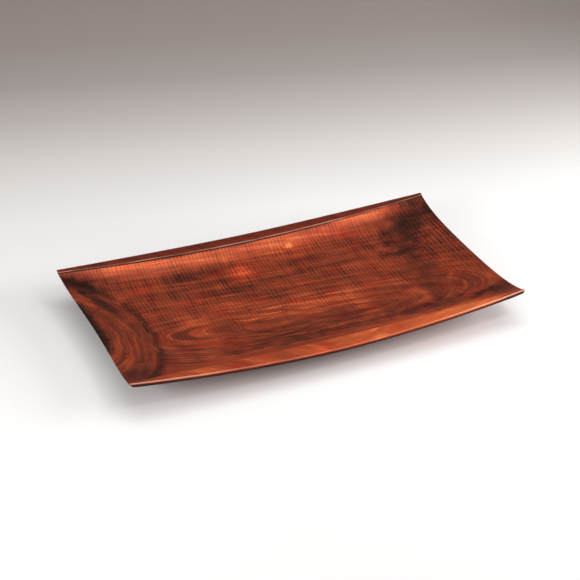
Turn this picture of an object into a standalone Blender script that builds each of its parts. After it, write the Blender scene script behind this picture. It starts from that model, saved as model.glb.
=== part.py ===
"""A long lacquered wooden serving tray.

The dish is one wide board, hollowed on top and flat under its middle. A lipping is joined to each
long edge with a tongue and groove. The ends and the lippings sweep up from the middle of the tray,
and the end faces lean in under it. Two runners slide across the underside in dovetail grooves,
where they keep the board flat and are the tray's feet. A peg locks each runner, and felt pads stand
under the runners' ends.

Metres, +Z up, +X along the tray, +Y to its rear. The origin is under the middle, on the table.
"""

import math

import bmesh
import bpy

# The plan of the tray: its long edges bow out, its ends are hollow, and the lippings taper
HALF_LENGTH = 0.225
HALF_WIDTH = 0.1333
SIDE_BOW = 0.0092
END_HOLLOW = 0.0038
LIPPING_WIDTH_MIDDLE = 0.0198
LIPPING_WIDTH_ENDS = 0.0057
PLAN_POWER = 1.95
HOLLOW_POWER = 1.8

# Heights above the table, halfway along the tray and at its ends
FLOOR_HEIGHT = 0.0145
END_HEIGHT = 0.02875
RIM_HEIGHT_MIDDLE = 0.0270
RIM_HEIGHT_ENDS = 0.0380
FLOOR_SWEEP_POWER = 3.6
RIM_SWEEP_POWER = 1.75

# How far the crest along the joint stands above the rim, and the powers of the cove below it
CREST_RISE_MIDDLE = 0.0009
CREST_RISE_ENDS = -0.0016
COVE_POWER_MIDDLE = 7.0
COVE_POWER_ENDS = 4.6

# The flat sole and the bevels that rise from it
BOARD_THICKNESS = 0.0080
END_THICKNESS = 0.0092
SOLE_HALF_LENGTH = 0.140
SOLE_HALF_WIDTH = 0.075
END_BEVEL_POWER = 1.3
SIDE_BEVEL_POWER = 1.2

# The end faces lean in under the tray, for the fingers that lift it, by a share of their drop
END_RAKE_SHARE = 0.75

# The lipping's section
EDGE_THICKNESS = 0.0052
ARRIS_RADIUS_MIDDLE = 0.0009
ARRIS_RADIUS_ENDS = 0.0004
END_ROUNDING = 0.0006

# The tongue on the board's long edges; its thickness is a share of the edge's
TONGUE_LENGTH = 0.0025
TONGUE_SHARE = 0.3
JOINT_GAP = 0.0003

# The runners under the sole, and their dovetails
RUNNER_PLACE = 0.105
RUNNER_WIDTH = 0.020
RUNNER_CHAMFER = 0.0015
RUNNER_END_RAKE = 0.0040
DOVETAIL_DEPTH = 0.0033
DOVETAIL_NECK = 0.0126
DOVETAIL_FLARE_SHARE = 0.3
CUT_OVERRUN = 0.0020

# The pegs and the pads
PEG_DIAMETER = 0.0050
PEG_GRIP = 0.0025
PEG_TIP_CHAMFER = 0.0007
PEG_RECESS = 0.0004
PAD_DIAMETER = 0.0140
PAD_THICKNESS = 0.0015
PAD_INSET = 0.0150
PAD_CHAMFER = 0.0003

# How finely the curves are divided
STATION_COUNT = 34
COLUMN_COUNT = 26
END_ROUNDING_SHARES = (0.0, 0.3, 1.0)
NOSE_POINTS = 6
ARRIS_POINTS = 2
ROUND_SEGMENTS = 24
BOARD_LAYERS = 3
MERGE_DISTANCE = 0.00003
SHARP_ANGLE = math.radians(35)

LACQUER = ("lacquered_wood", (0.36, 0.075, 0.025, 1.0), 0.22)
RUNNER_WOOD = ("runner_wood", (0.20, 0.045, 0.020, 1.0), 0.35)
PEG_WOOD = ("peg_wood", (0.55, 0.33, 0.15, 1.0), 0.55)
FELT = ("felt", (0.10, 0.055, 0.035, 1.0), 0.95)

SOLE_HEIGHT = FLOOR_HEIGHT - BOARD_THICKNESS
NOSE_RADIUS = EDGE_THICKNESS / 2


def bowed(share, middle, ends, power):
    """A size that changes from the middle of the tray to its ends; share runs from -1 to 1."""
    return middle + (ends - middle) * abs(share) ** power


def end_loss(share):
    """How far the top and the underside draw in where the end's edges are rounded."""
    inside = HALF_LENGTH * (1 - abs(share))
    if inside >= END_ROUNDING:
        return 0.0
    return END_ROUNDING - math.sqrt(END_ROUNDING**2 - (END_ROUNDING - inside) ** 2)


def outer_edge(share):
    """The distance of the long edge from the tray's middle line."""
    return bowed(share, HALF_WIDTH, HALF_WIDTH - SIDE_BOW, PLAN_POWER)


def joint_line(share):
    """The distance of the joint between board and lipping from the tray's middle line."""
    return outer_edge(share) - bowed(share, LIPPING_WIDTH_MIDDLE, LIPPING_WIDTH_ENDS, PLAN_POWER)


def rim_height(share):
    return bowed(share, RIM_HEIGHT_MIDDLE, RIM_HEIGHT_ENDS, RIM_SWEEP_POWER)


def crest_height(share):
    return rim_height(share) + bowed(share, CREST_RISE_MIDDLE, CREST_RISE_ENDS, PLAN_POWER)


def arris_radius(share):
    return bowed(share, ARRIS_RADIUS_MIDDLE, ARRIS_RADIUS_ENDS, PLAN_POWER)


def nose_height(share):
    """The height of the middle of the rim's rounded edge."""
    return rim_height(share) - NOSE_RADIUS


def cove_top(share):
    """The height of the board's long edge, which meets the foot of the lipping's arris."""
    return crest_height(share) - arris_radius(share)


def dish_height(share, y):
    """The board's upper surface."""
    floor = bowed(share, FLOOR_HEIGHT, END_HEIGHT, FLOOR_SWEEP_POWER)
    across = abs(y) / joint_line(share)
    power = bowed(share, COVE_POWER_MIDDLE, COVE_POWER_ENDS, PLAN_POWER)
    return floor + (cove_top(share) - floor) * across**power


def bevel_end(share):
    """The underside's height where the side bevel meets the rim's rounded edge, and its place."""
    return nose_height(share) - NOSE_RADIUS, outer_edge(share) - NOSE_RADIUS


def sole_height(share):
    """The underside's height along the middle of the tray."""
    along = max(0.0, abs(share) * HALF_LENGTH - SOLE_HALF_LENGTH) / (HALF_LENGTH - SOLE_HALF_LENGTH)
    return SOLE_HEIGHT + (END_HEIGHT - END_THICKNESS - SOLE_HEIGHT) * along**END_BEVEL_POWER


def underside_height(share, y):
    """The underside of the board and the lippings: a flat sole with bevels round it."""
    sole = sole_height(share)
    top, reach = bevel_end(share)
    across = max(0.0, abs(y) - SOLE_HALF_WIDTH) / (reach - SOLE_HALF_WIDTH)
    return sole + (top - sole) * across**SIDE_BEVEL_POWER


def bevel_place(share, height):
    """The distance from the middle at which the side bevel reaches a height."""
    sole = sole_height(share)
    top, reach = bevel_end(share)
    return SOLE_HALF_WIDTH + (reach - SOLE_HALF_WIDTH) * (
        max(0.0, height - sole) / (top - sole)
    ) ** (1 / SIDE_BEVEL_POWER)


def tongue_heights(share, beyond=0.0):
    """The heights of the tongue's lower and upper face, at a distance beyond the joint line.

    The tongue starts halfway up the board's long edge and leans up towards the rounded edge."""
    start = joint_line(share)
    bottom = underside_height(share, start)
    middle = (bottom + cove_top(share)) / 2
    half = (cove_top(share) - bottom) * TONGUE_SHARE / 2
    lean = (nose_height(share) - middle) / (outer_edge(share) - NOSE_RADIUS - start)
    return middle + lean * beyond - half, middle + lean * beyond + half


def station_shares():
    """Places of the sections along the tray, closer together in the rounded ends."""
    inner = 1 - END_ROUNDING / HALF_LENGTH
    even = [inner * (2 * i / STATION_COUNT - 1) for i in range(1, STATION_COUNT)]
    ends = [1 - END_ROUNDING * s / HALF_LENGTH for s in END_ROUNDING_SHARES]
    return [-s for s in ends] + even + ends[::-1]


def column_shares():
    """Places of the board's columns across the tray, closer together in the coves."""
    return [math.sin(math.pi / 2 * (2 * j / COLUMN_COUNT - 1)) for j in range(COLUMN_COUNT + 1)]


def end_hollowed(share, across):
    """The distance along X, drawn in where the tray's ends are hollow in plan."""
    return share * (HALF_LENGTH - END_HOLLOW * (1 - abs(across) ** HOLLOW_POWER))


def upper_height(share, y):
    """The tray's upper surface: the dish, and a straight rise over the lipping to its outer edge."""
    start = joint_line(share)
    if abs(y) <= start:
        return dish_height(share, y)
    beyond = min(1.0, (abs(y) - start) / (outer_edge(share) - NOSE_RADIUS - start))
    return cove_top(share) + (rim_height(share) - cove_top(share)) * beyond


def end_rake(share, y, z):
    """How far the raked ends draw a point in along X, below their rounded upper edge."""
    drop = max(0.0, upper_height(share, y) - END_ROUNDING - z)
    inside = HALF_LENGTH * (1 - abs(share))
    nearness = max(0.0, 1 - inside / (2 * END_RAKE_SHARE * END_THICKNESS))
    return math.copysign(END_RAKE_SHARE * drop * nearness, share)


def material(name, colour, roughness):
    found = bpy.data.materials.get(name)
    if found:
        return found
    made = bpy.data.materials.new(name)
    made.use_nodes = True
    shader = made.node_tree.nodes["Principled BSDF"]
    shader.inputs["Base Color"].default_value = colour
    shader.inputs["Roughness"].default_value = roughness
    shader.inputs["Metallic"].default_value = 0.0
    made.diffuse_color = colour
    return made


def make_object(name, bm, finish, place=(0, 0, 0), smooth=False):
    """An object of its own from the bmesh, with outward faces."""
    bmesh.ops.recalc_face_normals(bm, faces=bm.faces)
    mesh = bpy.data.meshes.new(name)
    bm.to_mesh(mesh)
    bm.free()
    made = bpy.data.objects.new(name, mesh)
    made.location = place
    bpy.context.scene.collection.objects.link(made)
    if finish:
        mesh.materials.append(material(*finish))
    if smooth:
        mesh.shade_smooth()
        mesh.set_sharp_from_angle(angle=SHARP_ANGLE)
    return made


def make_cutter(name, bm, place=(0, 0, 0)):
    made = make_object(name, bm, None, place)
    made.hide_render = True
    made.display_type = "WIRE"
    return made


def cut(target, cutter):
    step = target.modifiers.new(f"cut {cutter.name}", "BOOLEAN")
    step.operation = "DIFFERENCE"
    step.solver = "EXACT"
    step.object = cutter


def extruded(bm, faces):
    """Extrude the faces as one region; returns the new faces and their vertices."""
    region = set(faces)
    for face in faces:
        region.update(face.edges, face.verts)
    grown = bmesh.ops.extrude_face_region(bm, geom=list(region))["geom"]
    new_faces = [g for g in grown if isinstance(g, bmesh.types.BMFace)]
    return new_faces, {vert for face in new_faces for vert in face.verts}


def loft(sections):
    """A solid through closed sections of as many points each, by extruding the first to the last."""
    bm = bmesh.new()
    face = bm.faces.new([bm.verts.new(point) for point in sections[0]])
    for section in sections[1:]:
        (face,), _ = extruded(bm, [face])
        for vert, point in zip(face.verts, section):
            vert.co = point
    return bm


def add_board():
    """The hollowed board: a slab of columns and stations, bent to its two surfaces."""
    stations = station_shares()
    columns = column_shares()
    bm = bmesh.new()
    bmesh.ops.create_grid(bm, x_segments=len(stations) - 1, y_segments=COLUMN_COUNT, size=1)
    level = bm.verts.layers.int.new("level")
    grid = sorted(bm.verts, key=lambda v: (round(v.co.x, 5), round(v.co.y, 5)))
    for n, vert in enumerate(grid):
        vert.co.x = stations[n // len(columns)]
        vert.co.y = columns[n % len(columns)]
    region = bm.faces[:]
    for step in range(BOARD_LAYERS):
        region, raised = extruded(bm, region)
        for vert in raised:
            vert[level] = step + 1
    tongue = [
        f
        for f in bm.faces
        if {v[level] for v in f.verts} == {1, 2} and all(abs(v.co.y) == 1 for v in f.verts)
    ]
    _, tongue_verts = extruded(bm, tongue)
    for vert in bm.verts:
        share, across = vert.co.x, vert.co.y
        side = math.copysign(1, across)
        y = across * joint_line(share)
        under = underside_height(share, y) + end_loss(share)
        upper = dish_height(share, y) - end_loss(share)
        if abs(across) == 1:
            beyond = TONGUE_LENGTH if vert in tongue_verts else 0.0
            y += side * beyond
            z = (under, *tongue_heights(share, beyond), upper)[vert[level]]
        else:
            z = under + (upper - under) * vert[level] / BOARD_LAYERS
        vert.co = (end_hollowed(share, across) - end_rake(share, y, z), y, z)
    return make_object("tray_board", bm, LACQUER, smooth=True)


def lipping_section(share, side):
    """The lipping's outline at one station, as (x, y, z) points, for the rear (1) or front (-1)."""
    loss = end_loss(share)
    inner = joint_line(share) + JOINT_GAP
    groove_depth = TONGUE_LENGTH + JOINT_GAP
    groove_end = joint_line(share) + groove_depth
    mouth_bottom, mouth_top = tongue_heights(share, JOINT_GAP)
    end_bottom, end_top = tongue_heights(share, groove_depth)
    points = [
        (inner, underside_height(share, inner) + loss),
        (inner, mouth_bottom - JOINT_GAP),
        (groove_end, end_bottom - JOINT_GAP),
        (groove_end, end_top + JOINT_GAP),
        (inner, mouth_top + JOINT_GAP),
    ]
    arris = arris_radius(share)
    crest = crest_height(share) - loss
    for i in range(ARRIS_POINTS + 1):
        turn = math.pi / 2 * i / ARRIS_POINTS
        points.append((inner + arris * (1 - math.cos(turn)), crest - arris * (1 - math.sin(turn))))
    outer = outer_edge(share) - NOSE_RADIUS
    radius = NOSE_RADIUS - loss
    for i in range(NOSE_POINTS + 1):
        turn = math.pi / 2 - math.pi * i / NOSE_POINTS
        points.append((outer + radius * math.cos(turn), nose_height(share) + radius * math.sin(turn)))
    middle = (inner + outer) / 2
    points.append((middle, underside_height(share, middle) + loss))
    return [(share * HALF_LENGTH - end_rake(share, y, z), side * y, z) for y, z in points]


def add_lipping(name, side):
    bm = loft([lipping_section(share, side) for share in station_shares()])
    make_object(name, bm, LACQUER, smooth=True)


def dovetail_half(depth):
    """Half the dovetail's width at a depth above the sole."""
    return DOVETAIL_NECK / 2 + DOVETAIL_FLARE_SHARE * depth


def prism(outline, length):
    """A bar along Y, centred on it, from an outline of (x, z) points."""
    bm = bmesh.new()
    face = bm.faces.new([bm.verts.new((x, -length / 2, z)) for x, z in outline])
    _, moved = extruded(bm, [face])
    bmesh.ops.translate(bm, vec=(0, length, 0), verts=list(moved))
    return bm


def turned(profile):
    """A solid of revolution about Z from (radius, z) points that start and end on the axis."""
    bm = bmesh.new()
    verts = [bm.verts.new((r, 0, z)) for r, z in profile]
    edges = [bm.edges.new(pair) for pair in zip(verts, verts[1:])]
    bmesh.ops.spin(
        bm, geom=verts + edges, axis=(0, 0, 1), cent=(0, 0, 0), angle=math.tau,
        steps=ROUND_SEGMENTS, use_merge=True,
    )
    bmesh.ops.remove_doubles(bm, verts=bm.verts, dist=MERGE_DISTANCE)
    return bm


def add_groove(board, name, x):
    """The dovetail groove across the sole; it runs out through the side bevels."""
    bottom, top = -CUT_OVERRUN, DOVETAIL_DEPTH
    outline = [
        (-dovetail_half(bottom), bottom),
        (dovetail_half(bottom), bottom),
        (dovetail_half(top), top),
        (-dovetail_half(top), top),
    ]
    length = 2 * (HALF_WIDTH + CUT_OVERRUN)
    cut(board, make_cutter(f"{name}_groove", prism(outline, length), (x, 0, SOLE_HEIGHT)))


def add_runner(name, x):
    """A foot with a dovetail along its top; its dovetail ends flush with the side bevels."""
    foot = PAD_THICKNESS + JOINT_GAP - SOLE_HEIGHT
    half = RUNNER_WIDTH / 2
    neck = dovetail_half(0) - JOINT_GAP
    crown = dovetail_half(DOVETAIL_DEPTH) - JOINT_GAP
    outline = [
        (-half + RUNNER_CHAMFER, foot),
        (half - RUNNER_CHAMFER, foot),
        (half, foot + RUNNER_CHAMFER),
        (half, -JOINT_GAP),
        (neck, -JOINT_GAP),
        (crown, DOVETAIL_DEPTH - JOINT_GAP),
        (-crown, DOVETAIL_DEPTH - JOINT_GAP),
        (-neck, -JOINT_GAP),
        (-half, -JOINT_GAP),
        (-half, foot + RUNNER_CHAMFER),
    ]
    bm = prism(outline, 2 * SOLE_HALF_WIDTH)
    for vert in bm.verts:
        depth = max(0.0, -JOINT_GAP - vert.co.z) / (-JOINT_GAP - foot)
        reach = bevel_place(x / HALF_LENGTH, SOLE_HEIGHT + vert.co.z) - RUNNER_END_RAKE * depth
        vert.co.y = math.copysign(reach, vert.co.y)
    return make_object(name, bm, RUNNER_WOOD, (x, 0, SOLE_HEIGHT))


def add_peg(board, runner, name, x):
    """The locking peg, its through hole in the runner and its blind hole in the board."""
    foot = PAD_THICKNESS + JOINT_GAP
    tip = SOLE_HEIGHT + DOVETAIL_DEPTH + PEG_GRIP
    radius = PEG_DIAMETER / 2
    hole = radius + JOINT_GAP
    start = foot - CUT_OVERRUN
    end = tip + JOINT_GAP
    bore = turned([(0, start), (hole, start), (hole, end), (0, end)])
    bore_cutter = make_cutter(f"{name}_hole", bore, (x, 0, 0))
    cut(board, bore_cutter)
    cut(runner, bore_cutter)
    profile = [
        (0, foot + PEG_RECESS),
        (radius, foot + PEG_RECESS),
        (radius, tip - PEG_TIP_CHAMFER),
        (radius - PEG_TIP_CHAMFER, tip),
        (0, tip),
    ]
    make_object(name, turned(profile), PEG_WOOD, (x, 0, 0), smooth=True)


def add_pad(name, x, y):
    radius = PAD_DIAMETER / 2
    profile = [
        (0, 0),
        (radius, 0),
        (radius, PAD_THICKNESS - PAD_CHAMFER),
        (radius - PAD_CHAMFER, PAD_THICKNESS),
        (0, PAD_THICKNESS),
    ]
    make_object(name, turned(profile), FELT, (x, y, 0), smooth=True)


def main():
    for old in list(bpy.data.objects):
        bpy.data.objects.remove(old)
    board = add_board()
    add_lipping("rear_lipping", 1)
    add_lipping("front_lipping", -1)
    pad_y = SOLE_HALF_WIDTH - PAD_INSET
    for hand, x in (("left", -RUNNER_PLACE), ("right", RUNNER_PLACE)):
        add_groove(board, hand, x)
        runner = add_runner(f"{hand}_runner", x)
        add_peg(board, runner, f"{hand}_runner_peg", x)
        add_pad(f"{hand}_front_pad", x, -pad_y)
        add_pad(f"{hand}_rear_pad", x, pad_y)


main()
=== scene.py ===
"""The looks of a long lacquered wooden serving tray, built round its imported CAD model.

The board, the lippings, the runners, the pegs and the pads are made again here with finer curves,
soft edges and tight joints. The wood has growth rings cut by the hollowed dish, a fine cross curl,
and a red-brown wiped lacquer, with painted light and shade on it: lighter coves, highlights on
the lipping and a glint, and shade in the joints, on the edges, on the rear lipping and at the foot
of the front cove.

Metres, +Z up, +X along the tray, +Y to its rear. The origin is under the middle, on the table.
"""

import math

import bmesh
import bpy
from mathutils import Matrix, Vector


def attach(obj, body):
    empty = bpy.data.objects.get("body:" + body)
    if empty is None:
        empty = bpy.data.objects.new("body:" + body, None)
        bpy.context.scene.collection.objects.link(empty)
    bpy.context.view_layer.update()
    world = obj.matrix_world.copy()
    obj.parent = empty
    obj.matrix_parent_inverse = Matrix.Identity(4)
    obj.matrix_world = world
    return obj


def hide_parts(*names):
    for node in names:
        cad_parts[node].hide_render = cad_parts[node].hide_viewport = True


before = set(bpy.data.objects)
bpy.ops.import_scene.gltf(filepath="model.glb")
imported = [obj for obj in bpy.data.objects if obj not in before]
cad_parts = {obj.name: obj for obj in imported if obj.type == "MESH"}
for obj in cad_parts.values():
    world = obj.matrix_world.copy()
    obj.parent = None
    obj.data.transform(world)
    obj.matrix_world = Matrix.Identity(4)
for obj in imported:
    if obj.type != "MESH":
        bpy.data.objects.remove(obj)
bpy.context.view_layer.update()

# The plan of the tray
HALF_LENGTH = 0.225
HALF_WIDTH = 0.1333
SIDE_BOW = 0.0092
END_HOLLOW = 0.0038
LIPPING_WIDTH_MIDDLE = 0.0198
LIPPING_WIDTH_ENDS = 0.0057
PLAN_POWER = 1.95
HOLLOW_POWER = 1.8

# Heights above the table, halfway along the tray and at its ends
FLOOR_HEIGHT = 0.0145
END_HEIGHT = 0.02875
RIM_HEIGHT_MIDDLE = 0.0270
RIM_HEIGHT_ENDS = 0.0380
FLOOR_SWEEP_POWER = 3.6
RIM_SWEEP_POWER = 1.75
CREST_RISE_MIDDLE = 0.0009
CREST_RISE_ENDS = -0.0016
COVE_POWER_MIDDLE = 7.0
COVE_POWER_ENDS = 4.6

# The sole and its bevels
SOLE_HEIGHT = 0.0065
END_THICKNESS = 0.0092
SOLE_HALF_LENGTH = 0.140
SOLE_HALF_WIDTH = 0.075
END_BEVEL_POWER = 1.3
SIDE_BEVEL_POWER = 1.2
END_RAKE_SHARE = 0.75
END_RAKE_FADE = 2

# Edges and joints
NOSE_RADIUS = 0.0026
ARRIS_RADIUS_MIDDLE = 0.0009
ARRIS_RADIUS_ENDS = 0.0004
END_ROUNDING = 0.0006
TONGUE_LENGTH = 0.0025
TONGUE_SHARE = 0.3
JOINT_GAP = 0.00012

# Runners, pegs and pads
RUNNER_PLACE = 0.105
RUNNER_WIDTH = 0.020
RUNNER_CHAMFER = 0.0015
RUNNER_END_RAKE = 0.0040
RUNNER_EDGE = 0.0004
FIT_GAP = 0.0003
DOVETAIL_DEPTH = 0.0033
DOVETAIL_NECK = 0.0126
DOVETAIL_FLARE_SHARE = 0.3
CUT_OVERRUN = 0.0020
PEG_DIAMETER = 0.0050
PEG_GRIP = 0.0025
PEG_EDGE = 0.0003
PEG_RECESS = 0.0004
PAD_DIAMETER = 0.0140
PAD_THICKNESS = 0.0015
PAD_INSET = 0.0150
PAD_EDGE = 0.0005

# How finely the curves are divided
STATION_COUNT = 150
COLUMN_COUNT = 96
COLUMN_CROWDING = 0.5
END_ROUNDING_STEPS = (0.0, 0.12, 0.35, 0.65, 1.0)
NOSE_STEPS = 18
ARRIS_STEPS = 5
ROUND_SEGMENTS = 64
BOARD_LAYERS = 3
TONGUE_LAYER = {1, 2}
GRID_DIGITS = 5
SOFT_SEGMENTS = 3
CORNER_STEPS = 4
MERGE_DISTANCE = 0.000002
SHARP_ANGLE = math.radians(35)


def bowed(share, middle, ends, power):
    """A size that changes from the middle of the tray to its ends; share runs from -1 to 1."""
    return middle + (ends - middle) * abs(share) ** power


def end_loss(share):
    """How far the top and the underside draw in where the end's edges are rounded."""
    inside = HALF_LENGTH * (1 - abs(share))
    if inside >= END_ROUNDING:
        return 0.0
    return END_ROUNDING - math.sqrt(END_ROUNDING**2 - (END_ROUNDING - inside) ** 2)


def outer_edge(share):
    return bowed(share, HALF_WIDTH, HALF_WIDTH - SIDE_BOW, PLAN_POWER)


def joint_line(share):
    return outer_edge(share) - bowed(share, LIPPING_WIDTH_MIDDLE, LIPPING_WIDTH_ENDS, PLAN_POWER)


def rim_height(share):
    return bowed(share, RIM_HEIGHT_MIDDLE, RIM_HEIGHT_ENDS, RIM_SWEEP_POWER)


def crest_height(share):
    return rim_height(share) + bowed(share, CREST_RISE_MIDDLE, CREST_RISE_ENDS, PLAN_POWER)


def arris_radius(share):
    return bowed(share, ARRIS_RADIUS_MIDDLE, ARRIS_RADIUS_ENDS, PLAN_POWER)


def nose_height(share):
    return rim_height(share) - NOSE_RADIUS


def cove_top(share):
    return crest_height(share) - arris_radius(share)


def dish_height(share, y):
    """The board's upper surface."""
    floor = bowed(share, FLOOR_HEIGHT, END_HEIGHT, FLOOR_SWEEP_POWER)
    across = abs(y) / joint_line(share)
    power = bowed(share, COVE_POWER_MIDDLE, COVE_POWER_ENDS, PLAN_POWER)
    return floor + (cove_top(share) - floor) * across**power


def bevel_end(share):
    return nose_height(share) - NOSE_RADIUS, outer_edge(share) - NOSE_RADIUS


def sole_height(share):
    along = max(0.0, abs(share) * HALF_LENGTH - SOLE_HALF_LENGTH) / (HALF_LENGTH - SOLE_HALF_LENGTH)
    return SOLE_HEIGHT + (END_HEIGHT - END_THICKNESS - SOLE_HEIGHT) * along**END_BEVEL_POWER


def underside_height(share, y):
    """The flat sole and the bevels round it."""
    sole = sole_height(share)
    top, reach = bevel_end(share)
    across = max(0.0, abs(y) - SOLE_HALF_WIDTH) / (reach - SOLE_HALF_WIDTH)
    return sole + (top - sole) * across**SIDE_BEVEL_POWER


def bevel_place(share, height):
    """The distance from the middle at which the side bevel reaches a height."""
    sole = sole_height(share)
    top, reach = bevel_end(share)
    rise = max(0.0, height - sole) / (top - sole)
    return SOLE_HALF_WIDTH + (reach - SOLE_HALF_WIDTH) * rise ** (1 / SIDE_BEVEL_POWER)


def tongue_heights(share, beyond=0.0):
    """The tongue's lower and upper face, at a distance beyond the joint line."""
    start = joint_line(share)
    bottom = underside_height(share, start)
    middle = (bottom + cove_top(share)) / 2
    half = (cove_top(share) - bottom) * TONGUE_SHARE / 2
    lean = (nose_height(share) - middle) / (outer_edge(share) - NOSE_RADIUS - start)
    return middle + lean * beyond - half, middle + lean * beyond + half


def station_shares():
    """Places of the sections along the tray, closer together in the rounded ends."""
    inner = 1 - END_ROUNDING / HALF_LENGTH
    even = [inner * (2 * i / STATION_COUNT - 1) for i in range(1, STATION_COUNT)]
    ends = [1 - END_ROUNDING * s / HALF_LENGTH for s in END_ROUNDING_STEPS]
    return [-s for s in ends] + even + ends[::-1]


def column_shares():
    """Places of the board's columns across the tray, closer together in the coves."""
    even = [2 * j / COLUMN_COUNT - 1 for j in range(COLUMN_COUNT + 1)]
    return [s + COLUMN_CROWDING * (math.sin(math.pi / 2 * s) - s) for s in even]


def end_hollowed(share, across):
    """The distance along X, drawn in where the tray's ends are hollow in plan."""
    return share * (HALF_LENGTH - END_HOLLOW * (1 - abs(across) ** HOLLOW_POWER))


def upper_height(share, y):
    """The tray's upper surface: the dish, and a straight rise over the lipping to its edge."""
    start = joint_line(share)
    if abs(y) <= start:
        return dish_height(share, y)
    beyond = min(1.0, (abs(y) - start) / (outer_edge(share) - NOSE_RADIUS - start))
    return cove_top(share) + (rim_height(share) - cove_top(share)) * beyond


def end_rake(share, y, z):
    """How far the raked ends draw a point in along X, below their rounded upper edge."""
    drop = max(0.0, upper_height(share, y) - END_ROUNDING - z)
    inside = HALF_LENGTH * (1 - abs(share))
    nearness = max(0.0, 1 - inside / (END_RAKE_FADE * END_RAKE_SHARE * END_THICKNESS))
    return math.copysign(END_RAKE_SHARE * drop * nearness, share)


def extruded(bm, faces):
    """Extrude the faces as one region; returns the new faces and their vertices."""
    region = set(faces)
    for face in faces:
        region.update(face.edges, face.verts)
    grown = bmesh.ops.extrude_face_region(bm, geom=list(region))["geom"]
    new_faces = [g for g in grown if isinstance(g, bmesh.types.BMFace)]
    return new_faces, {vert for face in new_faces for vert in face.verts}


def soften(bm, edges, radius):
    bmesh.ops.bevel(
        bm, geom=edges, offset=radius, offset_type="OFFSET", segments=SOFT_SEGMENTS,
        profile=0.5, affect="EDGES", material=-1, clamp_overlap=True,
    )


def solid_mesh(name, bm):
    """The bmesh as a mesh with its faces turned outwards; the bmesh is used up."""
    bmesh.ops.recalc_face_normals(bm, faces=bm.faces)
    mesh = bpy.data.meshes.new(name)
    bm.to_mesh(mesh)
    bm.free()
    return mesh


def placed(name, data):
    """A new object in the scene."""
    made = bpy.data.objects.new(name, data)
    bpy.context.scene.collection.objects.link(made)
    return made


def make_piece(name, bm, finish):
    """A finished piece that stands for the CAD node of the same name."""
    mesh = solid_mesh(name, bm)
    mesh.materials.append(finish)
    mesh.shade_smooth()
    mesh.set_sharp_from_angle(angle=SHARP_ANGLE)
    piece = placed(f"{name}_finished", mesh)
    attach(piece, "root")
    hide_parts(name)


def cut_away(bm, cutters):
    """The mesh of bm with the cutters' volumes taken out of it, as a new bmesh."""
    body = placed("workpiece", solid_mesh("workpiece", bm))
    tools = []
    for cutter in cutters:
        tool = placed("cutter", solid_mesh("cutter", cutter))
        step = body.modifiers.new("cut", "BOOLEAN")
        step.operation = "DIFFERENCE"
        step.solver = "EXACT"
        step.object = tool
        tools.append(tool)
    bpy.context.view_layer.update()
    depsgraph = bpy.context.evaluated_depsgraph_get()
    result = bmesh.new()
    result.from_object(body, depsgraph)
    for used in [body, *tools]:
        mesh = used.data
        bpy.data.objects.remove(used)
        bpy.data.meshes.remove(mesh)
    return result


def prism(outline, reach, x=0.0, z=0.0):
    """A bar along Y through the outline of (x, z) points, out to reach on both sides."""
    bm = bmesh.new()
    face = bm.faces.new([bm.verts.new((x + px, -reach, z + pz)) for px, pz in outline])
    _, moved = extruded(bm, [face])
    bmesh.ops.translate(bm, vec=(0, 2 * reach, 0), verts=list(moved))
    return bm


def turned(profile, x, y):
    """A round piece about a vertical axis, from (radius, z) points that start and end on it."""
    bm = bmesh.new()
    verts = [bm.verts.new((x + r, y, z)) for r, z in profile]
    edges = [bm.edges.new(pair) for pair in zip(verts, verts[1:])]
    bmesh.ops.spin(
        bm, geom=verts + edges, axis=(0, 0, 1), cent=(x, y, 0), angle=math.tau,
        steps=ROUND_SEGMENTS, use_merge=True,
    )
    bmesh.ops.remove_doubles(bm, verts=bm.verts, dist=MERGE_DISTANCE)
    return bm


def dovetail_half(depth):
    return DOVETAIL_NECK / 2 + DOVETAIL_FLARE_SHARE * depth


def dovetail_cutter(x):
    bottom, top = -CUT_OVERRUN, DOVETAIL_DEPTH
    outline = [
        (-dovetail_half(bottom), bottom),
        (dovetail_half(bottom), bottom),
        (dovetail_half(top), top),
        (-dovetail_half(top), top),
    ]
    return prism(outline, HALF_WIDTH + CUT_OVERRUN, x, SOLE_HEIGHT)


def peg_bore(x):
    hole = PEG_DIAMETER / 2 + JOINT_GAP
    start = PAD_THICKNESS + FIT_GAP - CUT_OVERRUN
    end = SOLE_HEIGHT + DOVETAIL_DEPTH + PEG_GRIP + FIT_GAP
    return turned([(0, start), (hole, start), (hole, end), (0, end)], x, 0.0)


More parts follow.
